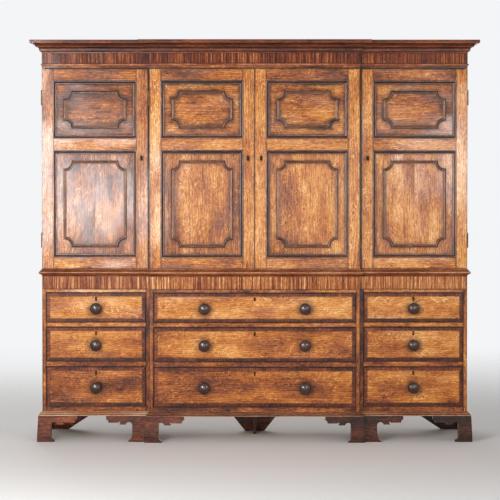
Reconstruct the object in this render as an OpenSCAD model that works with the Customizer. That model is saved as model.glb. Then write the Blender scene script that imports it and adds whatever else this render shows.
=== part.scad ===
// A breakfront housekeepers cupboard: a chest of nine drawers under a cupboard with four panelled doors.
// The front faces -Y. The origin is on the floor, under the middle of the whole.

/* [Carcass] */
// Width across the outer faces of the two wings
case_w = 2212; // [1900:1:2600]
// Width of the middle bay that steps forward
centre_w = 1092; // [900:1:1200]
// Depth of the wings from front edge to back
wing_depth = 520; // [420:1:640]
// How far the middle bay stands ahead of the wings
step_out = 35; // [28:1:60]
// Thickness of the carcass sides
side_t = 20; // [18:0.5:24]
// Thickness of the carcass tops and bottoms
board_t = 18; // [14:0.5:20]
// Thickness of the back planks
back_t = 12; // [8:0.5:18]
// Glue line between neighbouring boards
joint_gap = 0.1; // [0.05:0.05:0.2]
// Number of back planks behind a wing
wing_planks = 2; // [1:1:4]
// Number of back planks behind the middle bay
centre_planks = 4; // [2:1:6]

/* [Lower stage heights] */
// Height of the feet
foot_h = 135; // [110:1:170]
// Height of the base moulding
base_h = 22; // [18:1:30]
// Height of the bottom rail that shows over the base moulding
bottom_rail_h = 25; // [18:1:40]
// Height of the bottom drawers' opening
bottom_drawer_h = 209; // [160:1:260]
// Height of the rail over the bottom drawers
low_rail_h = 26; // [18:1:34]
// Height of the middle drawers' opening
middle_drawer_h = 181; // [140:1:230]
// Height of the rail over the middle drawers
high_rail_h = 23; // [18:1:34]
// Height of the top drawers' opening
top_drawer_h = 156; // [120:1:200]
// Height of the rail over the top drawers
top_rail_h = 17; // [14:1:30]
// Height of the frieze over the drawers
lower_frieze_h = 66; // [50:1:90]
// Height of the waist moulding
waist_h = 40; // [34:1:50]

/* [Upper stage heights] */
// Height of the doors
door_h = 1037; // [900:1:1200]
// Running gap under the doors
door_foot_gap = 1; // [0.5:0.1:2]
// Running gap over the doors
door_head_gap = 4; // [1:0.5:6]
// Height of the plain rail over the doors
head_rail_h = 13; // [10:1:30]
// Height of the half round bead under the upper frieze
bead_h = 11; // [8:1:16]
// Height of the upper frieze
upper_frieze_h = 55; // [40:1:80]
// Height of the cornice
cornice_h = 66; // [62:1:80]

/* [Mouldings] */
// How far the cornice stands out
cornice_p = 58; // [54:1:64]
// How far the waist moulding stands out
waist_p = 18; // [17:1:26]
// How far the base moulding stands out
base_p = 20; // [16:0.5:20]
// Thickness of the crossbanding on the friezes
banding_t = 3; // [1.5:0.5:4]

/* [Doors] */
// Thickness of the doors
door_t = 22; // [20:0.5:28]
// Width of the door stiles
stile_w = 60; // [45:1:80]
// Height of the doors' top rail
door_top_rail = 62; // [45:1:80]
// Height of the doors' middle rail
door_mid_rail = 64; // [50:1:90]
// Height of the doors' bottom rail
door_bottom_rail = 59; // [45:1:90]
// Height of the doors' upper panel
upper_panel_h = 298; // [240:1:340]
// Gap between a wing door's free edge and the middle bay
wing_door_gap = 9; // [8.5:0.5:12]
// Gap where the two middle doors meet
meeting_gap = 2; // [1:0.5:4]
// Thickness of the door panels
panel_t = 8; // [6:0.5:10]
// Depth of the panels' face behind the door's face
panel_set = 10; // [8:0.5:12]
// Width of the moulding that frames a panel
frame_mould_w = 18; // [12:1:22]
// How far that moulding stands out of the door's face
frame_mould_out = 3; // [1:0.5:4]
// How far that moulding laps over the door's frame
frame_mould_lap = 4; // [2:0.5:8]
// Distance from the panel's edge to the raised moulding
raised_inset = 51; // [35:1:65]
// Width of the raised moulding
raised_w = 16; // [12:1:20]
// Height of the raised moulding over the panel
raised_h = 7; // [4:0.5:9]
// Reach of the raised moulding's hollow corner
hollow_a = 42; // [30:1:55]
// Small shoulder at each end of the hollow corner
hollow_e = 4; // [2:0.5:8]

/* [Hinges and locks] */
// Length of a door hinge
hinge_l = 75; // [60:1:100]
// Radius of the hinge knuckle
knuckle_r = 3.5; // [3:0.1:3.7]
// Distance of the hinge pin outside the carcass side
pin_out = 3.8; // [3.8:0.1:4.2]
// Radius of the hinge pin
pin_r = 1.5; // [1.2:0.1:2]
// Running clearance round the hinge pin
pin_clear = 0.05; // [0.03:0.01:0.09]
// Thickness of a hinge leaf
leaf_t = 2; // [1.5:0.1:2.5]
// Distance of the hinges from the ends of the door
hinge_end = 110; // [90:1:200]
// Height of the door keyholes over the floor
door_key_z = 1475; // [1300:1:1600]
// Width of a keyhole
key_w = 5; // [3:0.5:6]
// Height of a keyhole
key_h = 15; // [8:0.5:18]

/* [Drawers] */
// Running gap round a drawer front
drawer_gap = 0.9; // [0.5:0.1:0.9]
// Thickness of the drawer fronts
front_t = 20; // [18:0.5:26]
// Width of the crossbanding on the drawer fronts
drawer_band_w = 14; // [10:1:26]
// Width of the cock bead
bead_w = 4.5; // [3:0.5:6]
// Depth of the cock bead strip
bead_d = 13; // [8:0.5:15]
// How far the cock bead stands out of the front
bead_out = 3; // [1.5:0.5:4]
// Thickness of the drawer sides
drawer_side_t = 11; // [8:0.5:14]
// Thickness of the drawer bottoms
drawer_bottom_t = 7; // [5:0.5:10]
// Clearance behind a closed drawer
drawer_back_gap = 15; // [8:1:40]
// Depth of the rails between the drawers
rail_d = 60; // [40:1:90]
// Width of the drawer runners
runner_w = 24; // [18:1:34]

/* [Knobs] */
// Radius of the knobs
knob_r = 30; // [20:0.5:34]
// How far the knobs stand out
knob_out = 47; // [40:1:49]
// Distance of the two knobs of a middle drawer from its centre
knob_x = 262; // [180:1:340]
// Distance of the knobs under the middle of a drawer front
knob_drop = 5; // [0:0.5:12]
// Radius of the tenon that holds a knob
tenon_r = 9; // [6:0.5:10]

/* [Feet] */
// Length of a bracket foot along the front
bracket_l = 180; // [160:1:220]
// Width of a foot's leg at its narrowest
leg_w = 44; // [40:1:60]
// Width of a foot at the floor
toe_w = 64; // [58:1:80]
// Depth of the bracket next to the leg
bracket_drop = 45; // [38:1:50]
// How much wider the wings' inner feet are than the others
inner_foot_extra = 47; // [30:1:60]
// How far the foot's face stands out at the top
foot_top_p = 20.5; // [20:0.5:24]
// How far the foot's face stands out at the floor
foot_toe_p = 26; // [22:0.5:32]
// Thickness of the bracket behind the carcass face
foot_in = 4; // [2:0.5:8]

/* [Inside] */
// Thickness of the shelves
shelf_t = 16; // [12:0.5:20]
// Height of the lower shelf over the cupboard floor
low_shelf_z = 320; // [250:1:400]
// Height between the two shelves
shelf_pitch = 340; // [250:1:420]

/* [Hidden] */
$fn = 48;

oak = "#a5672f";
dark_oak = "#8a5426";
mahogany = "#6b3420";
dark_mahogany = "#4a2417";
pine = "#b08a5a";
brass = "#8c7440";
ebonised = "#2a1712";

big = 4000;
half_w = case_w / 2;
half_c = centre_w / 2;
// Planes across the depth, with the whole depth centred on the origin
back_y = (wing_depth + step_out + cornice_p) / 2;
wing_y = back_y - wing_depth;
centre_y = wing_y - step_out;

// Levels of the lower stage
base_top = foot_h + base_h;
tier_h = [bottom_drawer_h, middle_drawer_h, top_drawer_h];
tier_z = [base_top + bottom_rail_h,
  base_top + bottom_rail_h + bottom_drawer_h + low_rail_h,
  base_top + bottom_rail_h + bottom_drawer_h + low_rail_h + middle_drawer_h + high_rail_h];
top_rail_z = tier_z[2] + top_drawer_h;
lower_frieze_z = top_rail_z + top_rail_h;
waist_z = lower_frieze_z + lower_frieze_h;
stage_z = waist_z + waist_h / 2;
waist_top = waist_z + waist_h - 1;

// Levels of the upper stage
door_z = waist_z + waist_h + door_foot_gap;
head_z = door_z + door_h + door_head_gap;
bead_z = head_z + head_rail_h;
upper_frieze_z = bead_z + bead_h;
cornice_z = upper_frieze_z + upper_frieze_h;
floor_z = stage_z + waist_h / 4;
cupboard_floor = floor_z + board_t;
shelf_set = 16;

// Bays from left to right: inner faces of the sides, and the plane of the front edges
bay_x = [[-half_w + side_t, -half_c - side_t], [-half_c + side_t, half_c - side_t],
  [half_c + side_t, half_w - side_t]];
bay_out = [[-half_w, -half_c], [-half_c, half_c], [half_c, half_w]];
bay_y = [wing_y, centre_y, wing_y];
bay_planks = [wing_planks, centre_planks, wing_planks];

// Doors from left to right: edges, side of the hinge, bay
door_x = [[-half_w, -half_c - wing_door_gap], [-half_c + meeting_gap / 2, -meeting_gap / 2],
  [meeting_gap / 2, half_c - meeting_gap / 2], [half_c + wing_door_gap, half_w]];
door_side = [-1, -1, 1, 1];
door_bay = [0, 1, 1, 2];
function door_w(i) = door_x[i][1] - door_x[i][0];
function pin_x(i) = door_side[i] * ((door_bay[i] == 1 ? half_c : half_w) + pin_out);
function joint_y(i) = bay_y[door_bay[i]] + door_t;
lower_panel_h = door_h - door_top_rail - door_mid_rail - door_bottom_rail - upper_panel_h;
// Each door's two panels: height of the lower edge and height of the panel
panel_rows = [[door_bottom_rail, lower_panel_h],
  [door_bottom_rail + lower_panel_h + door_mid_rail, upper_panel_h]];
hinge_zs = [door_z + hinge_end, door_z + door_h - hinge_end - hinge_l];

leaf_w = side_t + 1.8;
knuckle_gap = 0.3;
third = hinge_l / 3;
lock_w = 40;
lock_h = 60;
lock_d = 10;
key_in = 33;
front_lock_w = 64;
front_lock_h = 44;

// Plan of the front and the ends, from the left back corner round to the right back corner
plan = [[-half_w, back_y], [-half_w, wing_y], [-half_c, wing_y], [-half_c, centre_y],
  [half_c, centre_y], [half_c, wing_y], [half_w, wing_y], [half_w, back_y]];

function arc(c, r, a0, a1, n = 6) = [for (i = [0:n]) let (a = a0 + (a1 - a0) * i / n)
  [c[0] + r * cos(a), c[1] + r * sin(a)]];
function unit(v) = v / norm(v);
// Outward normal of the plan's length from point i to the next
function outward(i) = let (d = unit(plan[i + 1] - plan[i])) [d[1], -d[0]];
// Direction in which a mitre runs outward from point i, long enough to offset by one
function mitre(i) = i == 0 ? outward(0) : i == len(plan) - 1 ? outward(i - 1)
  : (outward(i - 1) + outward(i)) / (1 + outward(i - 1) * outward(i));

// Profiles: distance out of the carcass face, height over the moulding's foot
cornice_in = door_t;
cornice_profile = concat([[-cornice_in, 0], [1, 0], [2, 6], [10, 8], [13, 12]],
  arc([24.5, 18], 11.5, 180, 90), [[27.5, 30.5]], arc([cornice_p - 9, 28], 20, 170, 92),
  [[cornice_p - 2, 48.5], [cornice_p, 50.5], [cornice_p, cornice_h - 2], [cornice_p - 1, cornice_h],
  [-cornice_in, cornice_h]]);
waist_profile = concat([[0, 0]], arc([12.5, 0], 12.5, 180, 90), [[13.5, 15]],
  arc([waist_p - 4.5, 21], 4.5, -70, 70, 8), [[12.5, 27], [8, 31], [4.5, 35], [3, waist_h - 1], [0, waist_h - 1]]);
base_profile = [[0, 0], [base_p, 0], [base_p + 0.5, 1.5], [base_p, 5], [base_p - 3.5, 7], [base_p - 5, 9],
  [base_p - 8, 14], [base_p - 12, 16.5], [4, 17.5], [3, base_h - 1], [2.5, base_h], [0, base_h]];
bead_profile = concat([[0, 0]], arc([0, bead_h / 2], bead_h / 2, -90, 90, 10), [[0, bead_h]]);
foot_profile = [[-foot_in, 0], [foot_toe_p, 0], [foot_toe_p - 0.5, foot_h / 4], [foot_top_p, foot_h],
  [-foot_in, foot_h]];

function inset(r, d) = [r[0] + d, r[1] - d];

module box(x, y, z) translate([x[0], y[0], z[0]]) cube([x[1] - x[0], y[1] - y[0], z[1] - z[0]]);

// A board that leaves half a glue line on each of its sides
module board(x, y, z) box(inset(x, joint_gap / 2), inset(y, joint_gap / 2), inset(z, joint_gap / 2));

// One mitred length of a profile along the plan from point i to the next
module plan_length(i, profile, z, reach = 70, behind = 60) {
  glue = unit(plan[i + 1] - plan[i]) * joint_gap / 2;
  a = plan[i] + glue;
  b = plan[i + 1] - glue;
  out = outward(i);
  intersection() {
    translate([a[0], a[1], z]) rotate([0, 0, atan2(out[1], out[0])]) rotate([90, 0, 0])
      translate([0, 0, -big / 2]) linear_extrude(big) polygon(profile);
    translate([0, 0, z - 1]) linear_extrude(big) polygon([a - behind * mitre(i), a + reach * mitre(i),
      b + reach * mitre(i + 1), b - behind * mitre(i + 1)]);
  }
}

// Lower stage carcass

module lower_side(x, y) difference() {
  board(x, [y, back_y], [foot_h, stage_z]);
  box([x[0] - 1, x[1] + 1], [y - 1, y + banding_t], [lower_frieze_z, stage_z + 1]);
}

module lower_case_sides() color(oak) for (b = [0:2]) {
  lower_side([bay_out[b][0], bay_x[b][0]], bay_y[b]);
  lower_side([bay_x[b][1], bay_out[b][1]], bay_y[b]);
}

module lower_case_boards() color(pine) for (b = [0:2]) {
  board(bay_x[b], [bay_y[b], back_y - back_t], [foot_h, foot_h + board_t]);
  board(bay_x[b], [bay_y[b] + front_t, back_y - back_t], [stage_z - board_t, stage_z]);
}

// Upright planks that close the back of a bay
module planks(b, z) for (k = [0:bay_planks[b] - 1]) {
  pitch = (bay_x[b][1] - bay_x[b][0]) / bay_planks[b];
  board([bay_x[b][0] + k * pitch, bay_x[b][0] + (k + 1) * pitch], [back_y - back_t, back_y], z);
}

module lower_case_backs() color(pine) for (b = [0:2]) planks(b, [foot_h, stage_z]);

// Rails and runners share these levels
rail_levels = [[foot_h + board_t, tier_z[0]], [tier_z[0] + bottom_drawer_h, tier_z[1]],
  [tier_z[1] + middle_drawer_h, tier_z[2]], [top_rail_z, lower_frieze_z]];

module drawer_rails() color(oak) for (b = [0:2], level = rail_levels)
  board(bay_x[b], [bay_y[b], bay_y[b] + rail_d], level);

module drawer_runners() color(pine) for (b = [0:2], level = rail_levels) {
  y = [bay_y[b] + rail_d, back_y - back_t];
  board([bay_x[b][0], bay_x[b][0] + runner_w], y, level);
  board([bay_x[b][1] - runner_w, bay_x[b][1]], y, level);
}

module lower_friezes() for (b = [0:2]) {
  color(oak) board(bay_x[b], [bay_y[b] + banding_t, bay_y[b] + front_t], [lower_frieze_z, stage_z]);
  color(mahogany) board(bay_out[b], [bay_y[b], bay_y[b] + banding_t], [lower_frieze_z, waist_z + 2]);
}

module waist_moulding() color(dark_mahogany) {
  for (i = [0:6]) if (i % 2 == 0) plan_length(i, waist_profile, waist_z);
  // The three front lengths have a tongue that fills the space under the doors
  for (b = [0:2]) union() {
    plan_length(2 * b + 1, waist_profile, waist_z);
    box(inset(bay_out[b], joint_gap / 2), [bay_y[b], bay_y[b] + door_t], [stage_z, waist_top]);
  }
}

module base_moulding() color(dark_oak) for (i = [0:6]) plan_length(i, base_profile, foot_h);

// Feet

// Face of a bracket foot, its outer corner at the origin: leg with a spread toe, an arch beside the leg and
// two lobes under the bracket. The extra widens the leg.
module bracket_face(extra) {
  toe_h = 8;
  toe_rise = 44;
  toe_r = toe_w - leg_w;
  lobe_z = foot_h - bracket_drop;
  far_z = foot_h - bracket_drop * 0.78;
  arch_r = 17;
  far_x = leg_w + (bracket_l - leg_w) * 0.49;
  nick_r = 4.5;
  end_r = 17;
  difference() {
    translate([-big / 2, 0]) square([big / 2 + bracket_l + extra, foot_h]);
    translate([extra, 0]) {
      // Space under the near lobe and under the far lobe
      translate([leg_w, toe_h + toe_rise]) square([big, lobe_z - toe_h - toe_rise]);
      translate([far_x, toe_h + toe_rise]) square([big, far_z - toe_h - toe_rise]);
      // Hollow over the toe, and the floor beyond it
      translate([toe_w, toe_h + toe_rise]) scale([1, toe_rise / toe_r]) circle(toe_r);
      translate([toe_w, -1]) square([big, lobe_z + 1]);
      // Arch beside the leg, nick between the lobes and hollow at the bracket's end
      translate([leg_w + arch_r, lobe_z - 4]) circle(arch_r);
      translate([far_x, far_z]) circle(nick_r);
      translate([bracket_l + 5, far_z + 1]) circle(end_r);
    }
  }
}

// A foot's face along one length of the plan, from its start or its end
module foot_length(i, from_end = false, extra = 0) intersection() {
  a = plan[i];
  b = plan[i + 1];
  along = unit(b - a);
  plan_length(i, foot_profile, 0);
  translate([(from_end ? b : a)[0], (from_end ? b : a)[1], 0])
    rotate([0, 0, atan2(along[1], along[0])]) rotate([90, 0, 0]) translate([0, 0, -200])
      linear_extrude(400) mirror([from_end ? 1 : 0, 0, 0]) bracket_face(extra);
}

module bracket_feet() {
  block = 42;
  block_lift = 4;
  color(mahogany) {
    for (i = [1, 3, 5]) {
      foot_length(i, extra = i == 5 ? inner_foot_extra : 0);
      foot_length(i, from_end = true, extra = i == 1 ? inner_foot_extra : 0);
    }
    // Returns of the middle feet, then the ends: front bracket and back bracket
    plan_length(2, foot_profile, 0);
    plan_length(4, foot_profile, 0);
    for (i = [0, 6]) {
      foot_length(i);
      foot_length(i, from_end = true);
    }
  }
  color(pine) for (s = [-1, 1], c = [[half_w, wing_y], [half_c, centre_y]])
    translate([s * (c[0] - foot_in - block / 2), c[1] + foot_in + block / 2, block_lift + (foot_h - block_lift) / 2])
      cube([block - joint_gap, block - joint_gap, foot_h - block_lift - joint_gap], center = true);
}

module back_feet() color(dark_oak) {
  board = 20;
  toe = 86;
  reach = 292;
  inset = foot_in;
  for (s = [0, 1]) mirror([s, 0, 0]) translate([-half_w + inset, back_y, 0]) rotate([90, 0, 0])
    linear_extrude(board) polygon([[0, 0], [toe, 0], [reach, foot_h], [0, foot_h]]);
  // Middle support: a tapered board with a buttress before it
  mid_y = wing_y + wing_depth * 0.813;
  mid_toe = 51;
  mid_top = 159;
  buttress_w = 18;
  buttress_d = 125;
  translate([0, mid_y + board, 0]) rotate([90, 0, 0]) linear_extrude(board)
    polygon([[-mid_toe, 0], [mid_toe, 0], [mid_top, foot_h], [-mid_top, foot_h]]);
  board([-buttress_w / 2, buttress_w / 2], [mid_y - buttress_d, mid_y], [0, foot_h]);
}

// Upper stage carcass

// Space that the leaves of one bay side take, cut into the side's front edge
module leaf_cuts(i) for (z = hinge_zs)
  translate([pin_x(i), joint_y(i), z]) mirror([door_side[i] < 0 ? 1 : 0, 0, 0])
    translate([-leaf_w, -1, 0]) cube([leaf_w, leaf_t + 1, hinge_l]);

module upper_case_sides() color(oak) for (b = [0:2]) {
  y = [bay_y[b] + door_t, back_y];
  z = [stage_z, cornice_z];
  difference() {
    board([bay_out[b][0], bay_x[b][0]], y, z);
    if (b == 0) leaf_cuts(0);
    if (b == 1) leaf_cuts(1);
  }
  difference() {
    board([bay_x[b][1], bay_out[b][1]], y, z);
    if (b == 1) leaf_cuts(2);
    if (b == 2) leaf_cuts(3);
  }
}

dust_t = 12;

module upper_case_boards() color(pine) for (b = [0:2]) {
  y = [bay_y[b] + door_t, back_y - back_t];
  board(bay_x[b], y, [floor_z, cupboard_floor]);
  board(bay_x[b], y, [head_z - board_t, head_z]);
  // Dust board inside the cornice
  board([b == 0 ? -half_w + cornice_in : b == 1 ? -half_c + cornice_in : half_c - cornice_in,
    b == 0 ? -half_c + cornice_in : b == 1 ? half_c - cornice_in : half_w - cornice_in],
    [bay_y[b] + door_t, back_y - cornice_in], [cornice_z, cornice_z + dust_t]);
}

module upper_case_backs() color(pine) for (b = [0:2]) planks(b, [stage_z, cornice_z]);

module shelves() color(pine) for (b = [0:2], n = [0, 1]) {
  bearer_h = 16;
  bearer_w = 14;
  z = cupboard_floor + low_shelf_z + n * shelf_pitch;
  y = [bay_y[b] + door_t + shelf_set, back_y - back_t];
  board(bay_x[b], y, [z, z + shelf_t]);
  board([bay_x[b][0], bay_x[b][0] + bearer_w], y, [z - bearer_h, z]);
  board([bay_x[b][1] - bearer_w, bay_x[b][1]], y, [z - bearer_h, z]);
}

module upper_friezes() {
  for (b = [0:2]) {
    color(oak) difference() {
      board(bay_out[b], [bay_y[b], bay_y[b] + door_t], [head_z, cornice_z]);
      box([bay_out[b][0] - 1, bay_out[b][1] + 1], [bay_y[b] - 1, bay_y[b] + banding_t],
        [upper_frieze_z, cornice_z + 1]);
    }
    color(mahogany) board(bay_out[b], [bay_y[b], bay_y[b] + banding_t], [upper_frieze_z, cornice_z]);
  }
  color(dark_mahogany) for (i = [0:6]) plan_length(i, bead_profile, bead_z);
}

module cornice() {
  color(dark_mahogany) for (i = [0:6]) plan_length(i, cornice_profile, cornice_z);
  color(pine) board([-half_w + cornice_in, half_w - cornice_in], [back_y - cornice_in, back_y],
    [cornice_z, cornice_z + cornice_h]);
}

// Hinges: seen from the pin, the carcass and the door lie on the -X side

module fixed_leaf() difference() {
  union() {
    translate([-leaf_w, 0, 0]) cube([leaf_w - pin_out, leaf_t, hinge_l]);
    for (z = [0, 2 * third]) translate([0, 0, z]) {
      cylinder(r = knuckle_r, h = third - knuckle_gap);
      translate([-pin_out - 1, 0, 0]) cube([pin_out + 1, leaf_t, third - knuckle_gap]);
    }
  }
  translate([0, 0, -1]) cylinder(r = pin_r + pin_clear, h = hinge_l + 2);
}

module moving_leaf() difference() {
  union() {
    translate([-leaf_w, -leaf_t, 0]) cube([leaf_w - pin_out, leaf_t, hinge_l]);
    translate([0, 0, third]) {
      cylinder(r = knuckle_r, h = third - knuckle_gap);
      translate([-pin_out - 1, -leaf_t, 0]) cube([pin_out + 1, leaf_t, third - knuckle_gap]);
    }
  }
  translate([0, 0, -1]) cylinder(r = pin_r + pin_clear, h = hinge_l + 2);
}

// The pin has a button at each end that holds it in the fixed knuckles
module hinge_pin() {
  button_h = 2;
  button_r = knuckle_r - 0.6;
  translate([0, 0, -joint_gap]) cylinder(r = pin_r, h = hinge_l - knuckle_gap + 2 * joint_gap);
  translate([0, 0, -button_h - joint_gap]) cylinder(r = button_r, h = button_h);
  translate([0, 0, hinge_l - knuckle_gap + joint_gap]) cylinder(r = button_r, h = button_h);
}

module at_hinges(i) for (z = hinge_zs)
  translate([pin_x(i), joint_y(i), z]) mirror([door_side[i] < 0 ? 1 : 0, 0, 0]) children();

module hinge_fixed_leaves() color(brass) for (i = [0:3]) {
  at_hinges(i) fixed_leaf();
  at_hinges(i) hinge_pin();
}

// Doors

module keyhole() cube([key_w, 60, key_h], center = true);

function key_x(i) = door_side[i] > 0 ? door_x[i][0] + key_in : door_x[i][1] - key_in;

module door_frame(i) color(oak) {
  x = door_x[i];
  y = [bay_y[door_bay[i]], joint_y(i)];
  z = [door_z, door_z + door_h];
  hinge_first = door_side[i] < 0;
  difference() {
    board([x[0], x[0] + stile_w], y, z);
    if (hinge_first) door_leaf_cuts(i);
    else translate([key_x(i), y[0], door_key_z]) keyhole();
  }
  difference() {
    board([x[1] - stile_w, x[1]], y, z);
    if (!hinge_first) door_leaf_cuts(i);
    else translate([key_x(i), y[0], door_key_z]) keyhole();
  }
  inner = [x[0] + stile_w, x[1] - stile_w];
  mid_z = door_z + door_bottom_rail + lower_panel_h;
  board(inner, y, [door_z, door_z + door_bottom_rail]);
  board(inner, y, [mid_z, mid_z + door_mid_rail]);
  board(inner, y, [door_z + door_h - door_top_rail, door_z + door_h]);
}

module door_leaf_cuts(i) at_hinges(i) translate([-leaf_w, -leaf_t, 0]) cube([leaf_w, leaf_t + 1, hinge_l]);

// Places its children at the lower left corner of a panel's face
module at_panel(i, row) translate([door_x[i][0] + stile_w, bay_y[door_bay[i]] + panel_set, door_z + row[0]])
  children();

function panel_w(i) = door_w(i) - 2 * stile_w;

module door_panels(i) color(oak) for (row = panel_rows) at_panel(i, row) cube([panel_w(i), panel_t, row[1]]);

// One mitred side of the moulding round a panel, lying along +X from the corner. Its lap rests on the frame.
module frame_mould_side(l) {
  h = panel_set + frame_mould_out;
  w = frame_mould_w;
  lap = frame_mould_lap;
  profile = [[0, 0], [0, panel_set], [-lap, panel_set], [-lap, h - 1], [1 - lap, h], [w * 0.15, h],
    [w * 0.4, h * 0.55], [w * 0.75, h * 0.42], [w, h * 0.2], [w, 0]];
  intersection() {
    rotate([90, 0, 90]) translate([0, 0, -lap]) linear_extrude(l + 2 * lap) rotate([0, 0, 90]) polygon(profile);
    translate([0, h * -2, 0]) rotate([-90, 0, 0]) mirror([0, 1, 0]) linear_extrude(h * 4)
      polygon([[-lap, -lap], [l + lap, -lap], [l - l / 2, l / 2], [l / 2, l / 2]]);
  }
}

// Outline with hollow corners, drawn inside its square by the distance w
module hollow_outline(size, w) difference() {
  square([size[0] - 2 * w, size[1] - 2 * w], center = true);
  for (sx = [-1, 1], sy = [-1, 1]) scale([sx, sy]) translate([size[0] / 2, size[1] / 2]) {
    translate([-hollow_e, -hollow_e]) circle(hollow_a - hollow_e + w);
    translate([-hollow_a - w, -hollow_e]) square([hollow_a + w, hollow_e + 1]);
    translate([-hollow_e, -hollow_a - w]) square([hollow_e + 1, hollow_a + w]);
  }
}

module raised_moulding(size) {
  low = raised_h * 0.5;
  ridge_in = raised_w * 0.22;
  ridge_w = raised_w * 0.45;
  linear_extrude(low) difference() {
    hollow_outline(size, 0);
    hollow_outline(size, raised_w);
  }
  linear_extrude(raised_h) difference() {
    hollow_outline(size, ridge_in);
    hollow_outline(size, ridge_in + ridge_w);
  }
}

module door_mouldings(i) color(dark_mahogany) for (row = panel_rows) at_panel(i, row) {
  w = panel_w(i);
  h = row[1];
  frame_mould_side(w);
  translate([w, 0, h]) rotate([0, 180, 0]) frame_mould_side(w);
  translate([w, 0, 0]) rotate([0, -90, 0]) frame_mould_side(h);
  translate([0, 0, h]) rotate([0, 90, 0]) frame_mould_side(h);
  translate([w / 2, 0, h / 2]) rotate([90, 0, 0])
    raised_moulding([w - 2 * raised_inset, h - 2 * raised_inset]);
}

module door_fittings(i) {
  color(brass) at_hinges(i) moving_leaf();
  color(brass) translate([key_x(i) - lock_w / 2, joint_y(i), door_key_z - lock_h / 2])
    cube([lock_w, lock_d, lock_h]);
}

// Drawers, by bay and tier

function front_x(b) = [bay_x[b][0] + drawer_gap, bay_x[b][1] - drawer_gap];
function front_z(t) = [tier_z[t] + drawer_seat, tier_z[t] + tier_h[t] - drawer_gap];
drawer_seat = 0.3;

// A strip round a drawer front, w wide, glued up at its mitres, from the plane y back by d
module strip(x, z, w, y, d) translate([0, y + d - joint_gap / 2, 0]) rotate([90, 0, 0])
  linear_extrude(d - joint_gap / 2) difference() {
    span(inset(x, joint_gap / 2), inset(z, joint_gap / 2));
    span(inset(x, w - joint_gap / 2), inset(z, w - joint_gap / 2));
  }

module span(x, z) translate([x[0], z[0]]) square([x[1] - x[0], z[1] - z[0]]);

function knob_xs(b) = b == 1 ? [-knob_x, knob_x] : [(bay_x[b][0] + bay_x[b][1]) / 2];
function knob_z(t) = (front_z(t)[0] + front_z(t)[1]) / 2 - knob_drop;
function lock_x(b) = (bay_x[b][0] + bay_x[b][1]) / 2;
// Top of the lock's pin: close under the front's upper edge
function lock_z(t) = front_z(t)[1] - bead_w - front_lock_h / 2 - 6;
lock_in = 9;

module drawer_front(b, t) {
  x = front_x(b);
  z = front_z(t);
  y = bay_y[b];
  color(oak) difference() {
    box(x, [y, y + front_t], z);
    // Rebates for the cock bead and the crossbanding
    difference() {
      box([x[0] - 1, x[1] + 1], [y - 1, y + bead_d - bead_out], [z[0] - 1, z[1] + 1]);
      box(inset(x, bead_w), [y - 2, y + front_t], inset(z, bead_w));
    }
    difference() {
      box([x[0] - 1, x[1] + 1], [y - 1, y + banding_t], [z[0] - 1, z[1] + 1]);
      box(inset(x, bead_w + drawer_band_w), [y - 2, y + front_t], inset(z, bead_w + drawer_band_w));
    }
    // Holes for the knobs' tenons
    for (kx = knob_xs(b)) translate([kx, y - 1, knob_z(t)]) rotate([-90, 0, 0])
      cylinder(r = tenon_r + tenon_clear, h = front_t + 2);
    // Lock mortise and keyhole
    translate([lock_x(b) - front_lock_w / 2, y + front_t - lock_in, lock_z(t) - front_lock_h / 2])
      cube([front_lock_w, lock_in + 1, front_lock_h]);
    translate([lock_x(b), y, lock_z(t)]) keyhole();
  }
  color(dark_mahogany) strip(x, z, bead_w, y - bead_out, bead_d);
  color(mahogany) strip(inset(x, bead_w), inset(z, bead_w), drawer_band_w, y, banding_t);
  color(brass) board([lock_x(b) - front_lock_w / 2, lock_x(b) + front_lock_w / 2],
    [y + front_t - lock_in, y + front_t], [lock_z(t) - front_lock_h / 2, lock_z(t) + front_lock_h / 2]);
}
tenon_clear = 0.1;

module drawer_box(b, t) color(pine) {
  x = front_x(b);
  y = [bay_y[b] + front_t, back_y - back_t - drawer_back_gap];
  z = [front_z(t)[0], front_z(t)[1] - 6];
  rise = 8;
  back_board = 10;
  inner = inset(x, drawer_side_t);
  bottom_z = z[0] + rise;
  board([x[0], x[0] + drawer_side_t], y, z);
  board([x[1] - drawer_side_t, x[1]], y, z);
  board(inner, y, [bottom_z, bottom_z + drawer_bottom_t]);
  board(inner, [y[1] - back_board, y[1]], [bottom_z + drawer_bottom_t, z[1]]);
}

// A turned knob: base, neck and a flattened bun, on a tenon that fills the hole
module knob() {
  base_r = knob_r * 0.55;
  neck_r = knob_r * 0.4;
  bun_y = knob_out * 0.62;
  bun_half = knob_out - bun_y;
  rotate([90, 0, 0]) rotate_extrude() polygon(concat([[0, -front_t], [tenon_r, -front_t], [tenon_r, 0],
    [base_r, 0], [base_r, 3], [neck_r, 7], [neck_r, 11]],
    [for (a = [-62:8:82]) [knob_r * cos(a), bun_y + bun_half * sin(a)]], [[0, knob_out]]));
}

module drawer_knobs(b, t) color(ebonised) for (kx = knob_xs(b))
  translate([kx, bay_y[b], knob_z(t)]) knob();

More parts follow.
